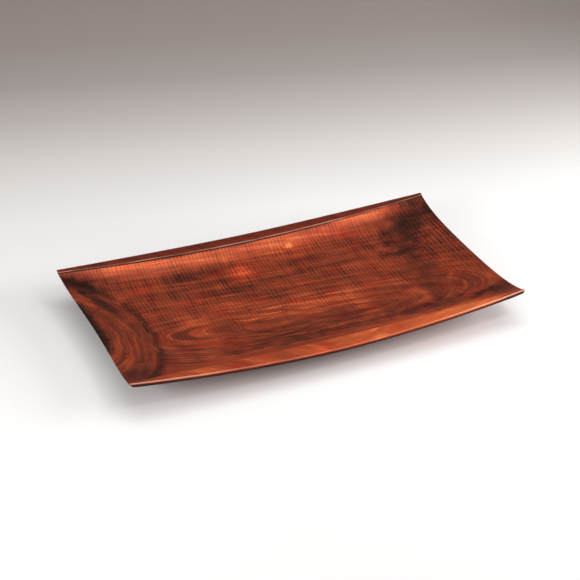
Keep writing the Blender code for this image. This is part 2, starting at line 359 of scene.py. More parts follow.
def board_mesh():
    """The hollowed board: a slab of columns and stations, bent to its two surfaces."""
    stations = station_shares()
    columns = column_shares()
    bm = bmesh.new()
    bmesh.ops.create_grid(bm, x_segments=len(stations) - 1, y_segments=COLUMN_COUNT, size=1)
    level = bm.verts.layers.int.new("level")
    grid = sorted(bm.verts, key=lambda v: (round(v.co.x, GRID_DIGITS), round(v.co.y, GRID_DIGITS)))
    for n, vert in enumerate(grid):
        vert.co.x = stations[n // len(columns)]
        vert.co.y = columns[n % len(columns)]

    # The slab grows in layers, and the side faces of its middle layer grow into the tongues
    region = bm.faces[:]
    for step in range(BOARD_LAYERS):
        region, raised = extruded(bm, region)
        for vert in raised:
            vert[level] = step + 1
    tongue = [
        f
        for f in bm.faces
        if {v[level] for v in f.verts} == TONGUE_LAYER and all(abs(v.co.y) == 1 for v in f.verts)
    ]
    _, tongue_verts = extruded(bm, tongue)

    # Until here x and y are shares of the tray's length and of the board's width
    for vert in bm.verts:
        share, across = vert.co.x, vert.co.y
        side = math.copysign(1, across)
        y = across * joint_line(share)
        under = underside_height(share, y) + end_loss(share)
        upper = dish_height(share, y) - end_loss(share)
        if abs(across) == 1:
            beyond = TONGUE_LENGTH if vert in tongue_verts else 0.0
            y += side * beyond
            z = (under, *tongue_heights(share, beyond), upper)[vert[level]]
        else:
            z = under + (upper - under) * vert[level] / BOARD_LAYERS
        vert.co = (end_hollowed(share, across) - end_rake(share, y, z), y, z)
    return bm


def lipping_section(share, side):
    """The lipping's outline at one station, as (x, y, z) points, for the rear (1) or front (-1)."""
    loss = end_loss(share)
    inner = joint_line(share) + JOINT_GAP
    groove_depth = TONGUE_LENGTH + JOINT_GAP
    groove_end = joint_line(share) + groove_depth
    mouth_bottom, mouth_top = tongue_heights(share, JOINT_GAP)
    end_bottom, end_top = tongue_heights(share, groove_depth)
    points = [
        (inner, underside_height(share, inner) + loss),
        (inner, mouth_bottom - JOINT_GAP),
        (groove_end, end_bottom - JOINT_GAP),
        (groove_end, end_top + JOINT_GAP),
        (inner, mouth_top + JOINT_GAP),
    ]
    arris = arris_radius(share)
    crest = crest_height(share) - loss
    for i in range(ARRIS_STEPS + 1):
        turn = math.pi / 2 * i / ARRIS_STEPS
        points.append((inner + arris * (1 - math.cos(turn)), crest - arris * (1 - math.sin(turn))))
    outer = outer_edge(share) - NOSE_RADIUS
    radius = NOSE_RADIUS - loss
    for i in range(NOSE_STEPS + 1):
        turn = math.pi / 2 - math.pi * i / NOSE_STEPS
        height = nose_height(share) + radius * math.sin(turn)
        points.append((outer + radius * math.cos(turn), height))
    middle = (inner + outer) / 2
    points.append((middle, underside_height(share, middle) + loss))
    return [(share * HALF_LENGTH - end_rake(share, y, z), side * y, z) for y, z in points]


def lipping_mesh(side):
    """The lipping, by drawing its end section out through every station."""
    stations = station_shares()
    bm = bmesh.new()
    face = bm.faces.new([bm.verts.new(point) for point in lipping_section(stations[0], side)])
    for share in stations[1:]:
        (face,), _ = extruded(bm, [face])
        for vert, point in zip(face.verts, lipping_section(share, side)):
            vert.co = point
    return bm


def runner_mesh(x):
    """A foot with a dovetail along its top; its dovetail ends flush with the side bevels."""
    foot = PAD_THICKNESS + FIT_GAP - SOLE_HEIGHT
    half = RUNNER_WIDTH / 2
    neck = dovetail_half(0) - FIT_GAP
    crown = dovetail_half(DOVETAIL_DEPTH) - FIT_GAP
    outline = [
        (-half + RUNNER_CHAMFER, foot),
        (half - RUNNER_CHAMFER, foot),
        (half, foot + RUNNER_CHAMFER),
        (half, -FIT_GAP),
        (neck, -FIT_GAP),
        (crown, DOVETAIL_DEPTH - FIT_GAP),
        (-crown, DOVETAIL_DEPTH - FIT_GAP),
        (-neck, -FIT_GAP),
        (-half, -FIT_GAP),
        (-half, foot + RUNNER_CHAMFER),
    ]
    bm = prism(outline, SOLE_HALF_WIDTH)
    for vert in bm.verts:
        depth = max(0.0, -FIT_GAP - vert.co.z) / (-FIT_GAP - foot)
        reach = bevel_place(x / HALF_LENGTH, SOLE_HEIGHT + vert.co.z) - RUNNER_END_RAKE * depth
        vert.co.y = math.copysign(reach, vert.co.y)
    bmesh.ops.recalc_face_normals(bm, faces=bm.faces)
    rims = [e for e in bm.edges if e.calc_face_angle(0) > SHARP_ANGLE and e.is_convex]
    soften(bm, rims, RUNNER_EDGE)
    bmesh.ops.translate(bm, vec=(x, 0, SOLE_HEIGHT), verts=bm.verts)
    return bm


def rounded(radius, corner, z, upwards):
    """Points of a rounded corner between a round face at height z and a wall at the radius."""
    points = []
    for i in range(CORNER_STEPS + 1):
        turn = math.pi / 2 * i / CORNER_STEPS
        points.append((
            radius - corner * (1 - math.sin(turn)),
            z + upwards * corner * (1 - math.cos(turn)),
        ))
    return points


def peg_mesh(x):
    radius = PEG_DIAMETER / 2
    foot = PAD_THICKNESS + FIT_GAP + PEG_RECESS
    tip = SOLE_HEIGHT + DOVETAIL_DEPTH + PEG_GRIP
    low = rounded(radius, PEG_EDGE, foot, 1)
    high = rounded(radius, PEG_EDGE, tip, -1)
    return turned([(0, foot), *low, *high[::-1], (0, tip)], x, 0.0)


def pad_mesh(x, y):
    radius = PAD_DIAMETER / 2
    low = rounded(radius, PAD_EDGE, 0.0, 1)
    high = rounded(radius, PAD_EDGE, PAD_THICKNESS, -1)
    return turned([(0, 0), *low, *high[::-1], (0, PAD_THICKNESS)], x, y)


# Finishes
class Nodes:
    """A node tree and short ways of adding nodes to it."""

    def __init__(self, tree):
        self.tree = tree

    def put(self, socket, value):
        if isinstance(value, bpy.types.NodeSocket):
            self.tree.links.new(value, socket)
        else:
            socket.default_value = value

    def node(self, kind, *values, **settings):
        """A node with its live inputs filled in order; None leaves an input as it is."""
        made = self.tree.nodes.new(f"ShaderNode{kind}")
        for setting, value in settings.items():
            setattr(made, setting, value)
        live = [s for s in made.inputs if s.enabled]
        for socket, value in zip(live, values):
            if value is not None:
                self.put(socket, value)
        return made

    def calc(self, operation, *values):
        return self.node("Math", *values, operation=operation).outputs[0]

    def add(self, value, share, onto):
        return self.calc("MULTIPLY_ADD", value, share, onto)

    def times(self, *values):
        product = values[0]
        for value in values[1:]:
            product = self.calc("MULTIPLY", product, value)
        return product

    def centred(self, value):
        """A value from 0 to 1, made to lie evenly about zero."""
        return self.calc("SUBTRACT", value, 0.5)

    def blend(self, share, first, second):
        """The first value, turning into the second as the share goes from 0 to 1."""
        return self.add(self.calc("SUBTRACT", second, first), share, first)

    def vector(self, *parts):
        return self.node("CombineXYZ", *parts).outputs[0]

    def parts(self, vector):
        return self.node("SeparateXYZ", vector).outputs

    def scaled(self, vector, size):
        return self.node("VectorMath", vector, size, operation="MULTIPLY").outputs[0]

    def along(self, vector, line):
        """How far the vector reaches along a line."""
        return self.node("VectorMath", vector, line, operation="DOT_PRODUCT").outputs["Value"]

    def seen_from(self, vector, place, turn, size):
        """The vector as seen from a place, turned (in degrees) and measured in sizes of its own."""
        angles = tuple(math.radians(a) for a in turn)
        return self.node("Mapping", vector, place, angles, size, vector_type="TEXTURE").outputs[0]

    def noise(self, vector, detail=2.0, roughness=0.5):
        made = self.node("TexNoise", noise_dimensions="3D")
        for name, value in (
            ("Vector", vector), ("Scale", 1.0), ("Detail", detail), ("Roughness", roughness),
        ):
            self.put(made.inputs[name], value)
        return made.outputs[0]

    def fade(self, value, start, end, low=0.0, high=1.0):
        """From low at start to high at end, smooth between them."""
        made = self.node("MapRange", interpolation_type="SMOOTHSTEP")
        for name, number in (
            ("Value", value), ("From Min", start), ("From Max", end),
            ("To Min", low), ("To Max", high),
        ):
            self.put(made.inputs[name], number)
        return made.outputs[0]

    def mix(self, share, first, second):
        """The first colour, turning into the second as the share goes from 0 to 1."""
        made = self.node("Mix", data_type="RGBA")
        sockets = {socket.identifier: socket for socket in (*made.inputs, *made.outputs)}
        for name, value in (("Factor_Float", share), ("A_Color", first), ("B_Color", second)):
            self.put(sockets[name], value)
        return sockets["Result_Color"]

    def ramp(self, value, stops):
        """A colour from a list of (position, colour) stops."""
        made = self.node("ValToRGB", value)
        band = made.color_ramp
        while len(band.elements) < len(stops):
            band.elements.new(1.0)
        for element, (position, colour) in zip(band.elements, stops):
            element.position = position
            element.color = (*colour, 1)
        return made.outputs[0]

    def round_distance(self, flat, place, size, turn):
        """Distance in plan from a place, turned, and 1 at the edge of an oval of that size."""
        seen = self.seen_from(flat, (*place, 0), (0, 0, turn), (*size, 1))
        return self.node("VectorMath", seen, operation="LENGTH").outputs["Value"]

    def spot(self, flat, uneven, place, size, turn):
        """A soft spot in plan with an uneven edge: 1 at its place, 0 at its edge."""
        distance = self.calc("ADD", self.round_distance(flat, place, size, turn), uneven)
        return self.fade(distance, 1.0, 0.0)

    def arc(self, flat, uneven, place, size, width, turn):
        """A soft line along an oval in plan; its width is a share of the oval's size."""
        distance = self.add(uneven, ARC_UNEVEN, self.round_distance(flat, place, size, turn))
        return self.fade(self.calc("ABSOLUTE", self.calc("SUBTRACT", distance, 1.0)), width, 0.0)


# Places where the figure, the lacquer and the painted light and shade change. Each fade is where it
# starts and where it ends, and then its values there, unless they are 0 and 1 or come from the
# settings of the wood.
# Along the tray, in metres:
CURL_OPENS = (0.13, HALF_LENGTH)
CURL_RIGHT = (0.130, 0.155, 1.0, 0.6)
CURL_RIGHT_END = (0.172, 0.190, 1.0, 2.2)
RINGS_RIGHT = (0.03, 0.13, 1.0, 0.65)
CLOUDS_RIGHT = (0.12, 0.17, 1.0, 0.65)
# Where the coves are painted lighter for the light they take, and their lacquer is wiped thin:
FRONT_WIPED_AND_LIT = (-0.08, 0.16)
CORNERS_WIPED_AND_LIT = (0.17, 0.22, 1.0, 0.35)
REAR_WIPED_AND_LIT_LEFT = (-0.205, -0.165)
REAR_WIPED_AND_LIT_RIGHT = (0.212, 0.165)
REAR_WIPED_AND_LIT_MORE_LEFT = (-0.04, 0.02, 1.25, 0.8)
REAR_WIPED_AND_LIT_MORE_RIGHT = (0.05, 0.12, 0.8, 1.15)
REAR_REACH_LEFT = (-0.10, -0.05, -0.003, 0.004)
REAR_REACH_RIGHT = (0.09, 0.14, 0.004, -0.003)
GATHERED_SHADE_RIGHT = (0.03, 0.11, 1.0, 0.4)
# The nose's painted highlight:
NOSE_PALE_LEFT = (-0.20, -0.06, 0.75, 0.12)
NOSE_PALE_RIGHT = (0.08, 0.20, 0.0, 0.9)
# Across the tray, in metres:
CURL_FRONT = (-0.070, 0.035)
CURL_REAR_COVE = (0.085, 0.100, 1.0, 0.6)
RINGS_REAR = (0.04, -0.02)
RINGS_FRONT_COVE = (-0.082, -0.100, 1.0, 0.6)
RINGS_REAR_COVE = (0.080, 0.098, 1.0, 0.5)
CLOUDS_FRONT = (-0.076, -0.096)
FRONT_COVE = (-0.083, -0.118)
REAR_COVE = (0.094, 0.110)
REAR_HALF = (-0.05, 0.05)
REAR_LIPPING = (0.10, 0.12)
# Outwards from the joint, in metres:
# Lacquer in the joint, with painted shade there:
GATHERED_SHADE_INNER = (-0.0017, -0.0008)
GATHERED_SHADE_OUTER = (0.0003, 0.0)
# The arris's painted highlight and wear:
RUBBED_HIGHLIGHT_INNER = (0.0, 0.0003)
RUBBED_HIGHLIGHT_OUTER = (0.0014, 0.0008)
# Over the way that the surface faces:
FACES_UP = (-0.9, -0.8)
EDGE_FACES = (0.65, 0.25)
NOSE_OUTWARD = (0.15, 0.35)
NOSE_UPWARD = (0.60, 0.85)
# Over the value of a noise, a wave or another part of the figure:
OVAL_EDGE = (1.0, 0.92)
CURL_GROUPED = (0.34, 0.64, 1.0, 0.55)
CURL_GROUP_LINES = (0.56, 0.36)
CURL_DEPTH = (0.36, 0.64)
CURL_OVER_RINGS = (0.2, 0.9, 1.0, 0.6)
THIN_UNDER_CURL = (0.6, 0.0, 0.4, 1.0)
THIN_IN_OVAL = (0.0, 1.0, 1.0, 0.5)
RUBBED_HIGHLIGHT_RINGS = (0.2, 0.6, 0.35, 1.0)
RED_PATCHES = (0.48, 0.68, 0.0, 0.7)
ROUGHNESS_BY_TONE = (0.3, 0.9, 0.46, 0.38)

# Each set of rings: its layer of the noise, the noise's detail and roughness, and the fade over it
BROAD_SET = (0.0, (2.0, 0.55), (0.34, 0.66))
FINE_SET = (0.5, (3.0, 0.65), (0.36, 0.64))
THIN_SET = (0.9, (2.0, 0.5), (0.55, 0.66))
THIN_RUN = 2.0
GROUP_LAYER = 0.3
GROUP_RUN = 22.0
CLOUD_NOISE = (3.0, 0.55)
ROUGH_NOISE = (3.0, 0.6)
MARK_UNEVEN = 1.2
ARC_UNEVEN = 0.12
UNDERSIDE_SHARE = 0.4
EDGE_ROUGHNESS = 0.2


def new_finish(name):
    """A material with its nodes, its shader and the piece's own coordinates."""
    made = bpy.data.materials.new(name)
    made.use_nodes = True
    nodes = Nodes(made.node_tree)
    shader = made.node_tree.nodes["Principled BSDF"]
    place = nodes.node("TexCoord").outputs["Object"]
    return made, nodes, shader, place


def ring_set(nodes, across, slow, layer, grain, seen):
    """One set of growth rings, from 0 to 1."""
    return nodes.fade(nodes.noise(nodes.vector(across, slow, layer), *grain), *seen)


def growth_rings(nodes, place, flat, clouds, how):
    """Broad and fine growth rings, thin bright lines, and the inside of the left end's oval."""
    x, y, _ = nodes.parts(place)
    sway = nodes.noise(nodes.scaled(place, how["sway_scale"]))
    seen = nodes.seen_from(place, how["heart_place"], how["heart_turn"], how["heart_size"])
    _, heart_y, heart_z = nodes.parts(seen)
    ring = nodes.calc("SQRT", nodes.add(heart_y, heart_y, nodes.times(heart_z, heart_z)))
    ring = nodes.add(nodes.centred(sway), how["sway"], ring)

    # At the left end the rings turn round a heart of their own
    end_oval = nodes.round_distance(flat, *how["end_oval"])
    end_oval = nodes.add(nodes.centred(clouds), how["end_uneven"], end_oval)
    inside = nodes.fade(end_oval, *OVAL_EDGE)
    ring = nodes.blend(inside, ring, nodes.times(end_oval, how["end_rings"]))
    slow = nodes.blend(inside, nodes.times(x, how["ring_run"]), nodes.times(y, how["end_run"]))

    broad = ring_set(nodes, nodes.times(ring, how["broad_rings"]), slow, *BROAD_SET)
    fine = ring_set(nodes, nodes.times(ring, how["fine_rings"]), slow, *FINE_SET)
    across = nodes.times(ring, how["thin_rings"])
    thin = ring_set(nodes, across, nodes.times(slow, THIN_RUN), *THIN_SET)
    return broad, fine, thin, inside


def cross_curl(nodes, flat, fine, inside, how):
    """Thin dark lines across the grain, which bend a little and come and go."""
    x, y, _ = nodes.parts(flat)
    bend = nodes.noise(nodes.scaled(flat, how["bend_scale"]))
    phase = nodes.add(bend, how["bend"], nodes.add(y, how["lean"], x))
    phase = nodes.add(fine, how["curl_step"], phase)
    phase = nodes.calc("ADD", phase, nodes.fade(x, *CURL_OPENS, 0.0, how["curl_opened"]))
    wave = nodes.calc("SINE", nodes.times(phase, math.tau / how["curl_spacing"]))
    even_lines = nodes.fade(wave, how["curl_edge"], 1.0)

    # Some lines stand out from the even ones in groups
    across = nodes.times(phase, how["curl_groups"])
    groups = nodes.vector(across, nodes.times(y, GROUP_RUN), GROUP_LAYER)
    groups = nodes.noise(groups, *ROUGH_NOISE)
    even_lines = nodes.times(even_lines, nodes.fade(groups, *CURL_GROUPED))
    lines = nodes.add(nodes.fade(groups, *CURL_GROUP_LINES), how["group_share"], even_lines)

    depth = nodes.noise(nodes.scaled(flat, how["curl_patch"]), *ROUGH_NOISE)
    return nodes.times(
        lines,
        nodes.fade(depth, *CURL_DEPTH, how["curl_least"], 1.0),
        nodes.fade(y, *CURL_FRONT, how["curl_front"], 1.0),
        nodes.fade(y, *CURL_REAR_COVE),
        nodes.fade(fine, *CURL_OVER_RINGS),
        nodes.fade(x, *CURL_RIGHT),
        nodes.fade(x, *CURL_RIGHT_END),
        nodes.fade(inside, 0.0, 1.0, 1.0, how["curl_end"]),
    )


def wiped_and_lit_coves(nodes, flat, how):
    """The two raised coves painted lighter: a painted highlight where they take the light, on
    lacquer wiped thin there.
    """
    x, y, _ = nodes.parts(flat)
    front = nodes.times(
        nodes.fade(y, *FRONT_COVE),
        nodes.fade(x, *FRONT_WIPED_AND_LIT, how["front_thin_and_lit_left"], how["front_thin_and_lit_right"]),
        nodes.fade(nodes.calc("ABSOLUTE", x), *CORNERS_WIPED_AND_LIT),
    )
    reach = nodes.calc(
        "MINIMUM", nodes.fade(x, *REAR_REACH_LEFT), nodes.fade(x, *REAR_REACH_RIGHT)
    )
    more = nodes.calc(
        "MAXIMUM", nodes.fade(x, *REAR_WIPED_AND_LIT_MORE_LEFT), nodes.fade(x, *REAR_WIPED_AND_LIT_MORE_RIGHT)
    )
    rear = nodes.times(
        nodes.fade(nodes.calc("ADD", y, reach), *REAR_COVE),
        nodes.fade(x, *REAR_WIPED_AND_LIT_LEFT),
        nodes.fade(x, *REAR_WIPED_AND_LIT_RIGHT),
        more,
    )
    return nodes.add(rear, how["rear_thin_and_lit"], front)


def joint_distance(nodes, flat):
    """Distance in plan outwards from the joint between the board and a lipping."""
    x, y, _ = nodes.parts(flat)
    share = nodes.times(nodes.calc("ABSOLUTE", x), 1 / HALF_LENGTH)
    share = nodes.calc("POWER", share, PLAN_POWER)
    middle = HALF_WIDTH - LIPPING_WIDTH_MIDDLE
    end = HALF_WIDTH - SIDE_BOW - LIPPING_WIDTH_ENDS
    return nodes.calc("SUBTRACT", nodes.calc("ABSOLUTE", y), nodes.add(share, end - middle, middle))


def wood_tone(nodes, flat, clouds, mottle, rings, curl, how):
    """The tone of the wood under its lacquer, from 0, dark, to 1, light."""
    x, y, _ = nodes.parts(flat)
    broad, fine, thin, inside = rings
    near = nodes.times(
        nodes.fade(y, *RINGS_REAR, how["far_rings"], 1.0),
        nodes.fade(y, *RINGS_FRONT_COVE),
        nodes.fade(x, *RINGS_RIGHT),
        nodes.fade(y, *RINGS_REAR_COVE),
    )
    calm = nodes.times(
        nodes.fade(y, *CLOUDS_FRONT, 1.0, how["calm_front"]), nodes.fade(x, *CLOUDS_RIGHT)
    )
    fine_share = nodes.times(near, nodes.fade(inside, 0.0, 1.0, how["fine_share"], how["end_fine"]))
    thin = nodes.times(
        thin, nodes.fade(curl, *THIN_UNDER_CURL), near, nodes.fade(inside, *THIN_IN_OVAL)
    )
    tone = how["tone"]
    for value, share in (
        (nodes.centred(broad), nodes.times(calm, how["broad_share"])),
        (nodes.centred(fine), fine_share),
        (thin, how["thin_share"]),
        (nodes.centred(clouds), nodes.times(calm, how["cloud_share"])),
        (nodes.centred(mottle), nodes.times(calm, how["mottle_share"])),
        (curl, -how["curl_share"]),
        (inside, -how["end_dark"]),
    ):
        tone = nodes.add(value, share, tone)
    return nodes.calc("ADD", tone, wiped_and_lit_coves(nodes, flat, how))


def pale_wear_and_highlights(nodes, flat, joint, rear, fine, normal_y, normal_z):
    """A painted highlight along the lipping's arris by the joint, where it is also worn pale, and a
    painted highlight on the top of its nose.
    """
    x, y, _ = nodes.parts(flat)
    wear_and_highlight = nodes.times(
        nodes.fade(joint, *RUBBED_HIGHLIGHT_INNER),
        nodes.fade(joint, *RUBBED_HIGHLIGHT_OUTER),
        nodes.fade(fine, *RUBBED_HIGHLIGHT_RINGS),
        rear,
    )
    outward = nodes.times(normal_y, nodes.calc("SIGN", y))
    along = nodes.calc("MAXIMUM", nodes.fade(x, *NOSE_PALE_LEFT), nodes.fade(x, *NOSE_PALE_RIGHT))
    nose = nodes.times(
        nodes.fade(outward, *NOSE_OUTWARD), nodes.fade(normal_z, *NOSE_UPWARD), along
    )
    return nodes.calc("MAXIMUM", wear_and_highlight, nose)


def marked(nodes, tone, flat, uneven, upper, how):
    """The tone with the marks of this board in it, on the upper side only."""
    for kind, change, *where in how["marks"]:
        shape = nodes.spot if kind == "spot" else nodes.arc
        tone = nodes.add(shape(flat, uneven, *where), nodes.times(upper, change), tone)
    return tone


def reddened(nodes, colour, flat, uneven, upper, how):
    """The colour with redder patches in it, and painted shade on the rear lipping, which turns it
    redder and darker.
    """
    _, y, _ = nodes.parts(flat)
    redness = nodes.noise(nodes.scaled(flat, how["red_scale"]))
    redness = nodes.fade(redness, *RED_PATCHES)
    rear_shade_redness = nodes.fade(y, *REAR_LIPPING, 0.0, how["rear_shade_redness"])
    redness = nodes.calc("MAXIMUM", redness, rear_shade_redness)
    for where in how["red_marks"]:
        red_mark = nodes.times(upper, nodes.spot(flat, uneven, *where))
        redness = nodes.calc("MAXIMUM", redness, red_mark)
    return nodes.mix(redness, colour, nodes.scaled(colour, how["red_tint"]))


def lacquer_sheen(nodes, shader, tone, edge, curl, fine, how):
    """Gloss, glow and a slight relief of the figure under the lacquer."""
    roughness = nodes.add(edge, EDGE_ROUGHNESS, nodes.fade(tone, *ROUGHNESS_BY_TONE))
    nodes.put(shader.inputs["Roughness"], roughness)
    relief = nodes.node("Bump")
    relief.inputs["Strength"].default_value = how["relief"]
    relief.inputs["Distance"].default_value = how["relief_depth"]
    nodes.put(relief.inputs["Height"], nodes.add(curl, -1.0, fine))
    nodes.put(shader.inputs["Normal"], relief.outputs[0])
    nodes.put(shader.inputs["Metallic"], nodes.fade(edge, 0.0, 1.0, how["glow"], 0.0))
    shader.inputs["Specular IOR Level"].default_value = how["gloss"]
    shader.inputs["Coat Weight"].default_value = how["coat"]
    shader.inputs["Coat Roughness"].default_value = how["coat_roughness"]


def figured_wood(name, how):
    """Lacquered wood with growth rings, cross curl, clouds, wear and marks of its own, and painted
    light and shade.
    """
    made, nodes, shader, place = new_finish(name)
    x, y, _ = nodes.parts(place)
    flat = nodes.vector(x, y, 0.0)
    clouds = nodes.noise(nodes.scaled(flat, how["cloud_scale"]), *CLOUD_NOISE)
    mottle = nodes.noise(nodes.scaled(flat, how["mottle_scale"]), *ROUGH_NOISE)
    rings = growth_rings(nodes, place, flat, clouds, how)
    _, fine, _, inside = rings
    curl = cross_curl(nodes, flat, fine, inside, how)
    tone = wood_tone(nodes, flat, clouds, mottle, rings, curl, how)

    _, normal_y, normal_z = nodes.parts(nodes.node("TexCoord").outputs["Normal"])
    upper = nodes.fade(normal_z, *FACES_UP)
    uneven = nodes.times(nodes.centred(mottle), MARK_UNEVEN)
    tone = marked(nodes, tone, flat, uneven, upper, how)

    # Darker along the joint, where lacquer gathers and shade is painted into the joint, more on the
    # rear side
    joint = joint_distance(nodes, flat)
    rear = nodes.fade(y, *REAR_HALF, how["front_joint"], how["rear_joint"])
    gathered_and_shaded = nodes.times(
        nodes.fade(joint, *GATHERED_SHADE_INNER),
        nodes.fade(joint, *GATHERED_SHADE_OUTER),
        nodes.fade(x, *GATHERED_SHADE_RIGHT),
    )
    tone = nodes.add(gathered_and_shaded, nodes.times(rear, -1.0), tone)
    # Painted shade on faces turned to the side and down, where the lacquer also lies thicker; the
    # underside takes a smaller share
    edge = nodes.fade(normal_z, *EDGE_FACES)
    edge_share = nodes.fade(upper, 0.0, 1.0, UNDERSIDE_SHARE, 1.0)
    tone = nodes.add(nodes.times(edge, edge_share), -how["edge_dark"], tone)

    colour = reddened(nodes, nodes.ramp(tone, WOOD_TONES), flat, uneven, upper, how)
    pale = pale_wear_and_highlights(nodes, flat, joint, rear, fine, normal_y, normal_z)
    # Paler under the painted highlights on the arris and the nose, and where the arris is worn
    colour = nodes.mix(nodes.times(pale, how["wear_and_highlight"]), colour, how["wear_and_highlight_colour"])
    nodes.put(shader.inputs["Base Color"], colour)
    lacquer_sheen(nodes, shader, tone, edge, curl, fine, how)
    return made


# From dark, thick lacquer to bare light streaks
WOOD_TONES = [
    (0.00, (0.032, 0.0122, 0.0083)),
    (0.25, (0.084, 0.0218, 0.0136)),
    (0.45, (0.185, 0.0362, 0.0182)),
    (0.60, (0.300, 0.0535, 0.0228)),
    (0.75, (0.470, 0.0830, 0.0305)),
    (0.90, (0.720, 0.156, 0.050)),
    (1.00, (0.920, 0.250, 0.082)),
]

# Marks on the board's upper side, darker or lighter, painted light and shade among them where
# noted: kind, change of tone, place, size, (width of an arc), turn in degrees
BOARD_MARKS = [
    ("spot", -0.28, (-0.096, 0.082), (0.052, 0.014), 3),
    ("spot", -0.12, (-0.044, 0.041), (0.062, 0.015), 0),
    ("spot", 0.31, (-0.027, 0.070), (0.026, 0.022), 20),
    # A painted glint on the rear cove.
    ("spot", 0.34, (0.042, 0.098), (0.008, 0.006), 0),
    ("spot", -0.40, (0.190, 0.083), (0.092, 0.042), 50),
    ("spot", -0.25, (0.158, -0.010), (0.039, 0.094), -4),
    ("spot", -0.22, (0.194, -0.060), (0.030, 0.044), 0),
    ("spot", -0.30, (0.205, -0.098), (0.042, 0.022), -6),
    ("spot", -0.20, (0.150, -0.090), (0.070, 0.018), -4),
    ("spot", -0.42, (-0.207, 0.097), (0.037, 0.022), -24),
    ("arc", -0.26, (-0.243, -0.012), (0.080, 0.1225), 0.08, 0),
    ("arc", 0.11, (-0.243, -0.008), (0.057, 0.080), 0.18, 0),
    ("spot", 0.18, (0.032, 0.089), (0.066, 0.022), 0),
    ("spot", -0.34, (-0.195, 0.052), (0.012, 0.044), 24),
    ("spot", 0.30, (-0.178, 0.055), (0.006, 0.013), 20),
    ("spot", -0.90, (-0.2248, 0.010), (0.016, 0.084), 1),
    ("spot", -0.24, (-0.206, -0.098), (0.044, 0.028), 10),
    # Painted shade along the foot of the front cove, in this mark and the next.
    ("spot", -0.15, (-0.030, -0.068), (0.220, 0.028), 0),
    ("spot", -0.19, (0.025, -0.083), (0.210, 0.012), 0),
    ("spot", -0.30, (0.2248, 0.058), (0.016, 0.056), 0),
    ("spot", 0.16, (-0.120, -0.010), (0.040, 0.016), 8),
    ("spot", 0.11, (0.010, -0.022), (0.130, 0.040), -4),
]

# The figure and the finish of the board. A scale is a number of patches to the metre, and a share
# is how far that part of the figure changes the tone.
BOARD = {
    "tone": 0.595,
    # Growth rings, round a heart under the dish
    "sway_scale": (7, 18, 18),
    "sway": 0.014,
    "heart_place": (0, -0.044, 0.0),
    "heart_turn": (0, -0.35, -5.4),
    "heart_size": (1, 1, 0.45),
    "ring_run": 12.0,
    "broad_rings": 110.0,
    "fine_rings": 420.0,
    "thin_rings": 950.0,
    "broad_share": 0.14,
    "fine_share": 0.24,
    "thin_share": 0.21,
    "far_rings": 0.5,
    # Rings round a heart at the left end
    "end_oval": ((-0.243, -0.012), (0.080, 0.1225), 0),
    "end_uneven": 0.3,
    "end_rings": 0.06,
    "end_run": 9.0,
    "end_dark": 0.12,
    "end_fine": 0.17,
    # Cross curl
    "curl_spacing": 0.0043,
    "curl_edge": 0.25,
    "curl_step": 0.0007,
    "lean": -0.02,
    "bend_scale": (28, 13, 1),
    "bend": 0.0080,
    "curl_opened": -0.008,
    "curl_groups": 120.0,
    "group_share": 0.28,
    "curl_patch": (45, 34, 1),
    "curl_least": 0.45,
    "curl_front": 0.22,
    "curl_end": 0.35,
    "curl_share": 0.45,
    # Clouds, mottle and redder patches
    "cloud_scale": (10, 26, 1),
    "cloud_share": 0.36,
    "mottle_scale": (70, 70, 1),
    "mottle_share": 0.16,
    "calm_front": 0.5,
    "red_scale": (30, 45, 1),
    "red_tint": (1.05, 0.68, 0.72),
    "red_marks": [((-0.026, 0.070), (0.036, 0.032), 0)],
    "rear_shade_redness": 0.0,
    "marks": BOARD_MARKS,
    # Where the lacquer lies thin or thick, and painted light and shade: coves painted lighter where
    # they take the light, shade painted in the joint and on the edges, highlights painted on the
    # arrises
    "front_thin_and_lit_left": 0.06,
    "front_thin_and_lit_right": 0.26,
    "rear_thin_and_lit": 0.20,
    "front_joint": 0.1,
    "rear_joint": 0.6,
    "edge_dark": 0.6,
    "wear_and_highlight": 0.8,
    "wear_and_highlight_colour": (0.80, 0.50, 0.36, 1),
    # Sheen
    "relief": 0.25,
    "relief_depth": 0.00015,
    "glow": 0.3,
    "gloss": 0.0,
    "coat": 0.16,
    "coat_roughness": 0.22,
}
LIPPING = {
    **BOARD,
    "tone": 0.51,
    "sway": 0.004,
    "heart_place": (0, -0.045, -0.12),
    "broad_share": 0.06,
    "lean": 0.7,
    "curl_least": 0.6,
    "curl_front": 0.12,
    "curl_share": 0.70,
    "cloud_share": 0.16,
    "mottle_share": 0.10,
    "rear_shade_redness": 0.65,
    "marks": [],
    "front_thin_and_lit_left": 0.21,
    "front_thin_and_lit_right": 0.42,
    "rear_thin_and_lit": 0.0,
}

PLAIN_GRAIN = (4.0, 0.6)
PLAIN_SPAN = (0.3, 0.7)
SMOOTHER_LIGHT_GRAIN = 0.85

# The runners, the pegs' end grain and the felt: dark, light, roughness, and grains to the metre
PLAIN_FINISHES = {
    "runner_wood": ((0.07, 0.016, 0.009), (0.19, 0.045, 0.020), 0.42, (600, 40, 600)),
    "peg_wood": ((0.30, 0.16, 0.07), (0.50, 0.30, 0.14), 0.6, (900, 900, 900)),
    "felt": ((0.05, 0.028, 0.018), (0.11, 0.062, 0.040), 1.0, (2500, 2500, 2500)),
}


def plain_finish(name, dark, light, roughness, grain_scale):
    """One material with a grain or a nap, between a dark and a light colour."""
    made, nodes, shader, place = new_finish(name)
    grain = nodes.noise(nodes.scaled(place, grain_scale), *PLAIN_GRAIN)
    colour = nodes.ramp(grain, list(zip(PLAIN_SPAN, (dark, light))))
    nodes.put(shader.inputs["Base Color"], colour)
    smoother = roughness * SMOOTHER_LIGHT_GRAIN
    nodes.put(shader.inputs["Roughness"], nodes.fade(grain, *PLAIN_SPAN, roughness, smoother))
    return made


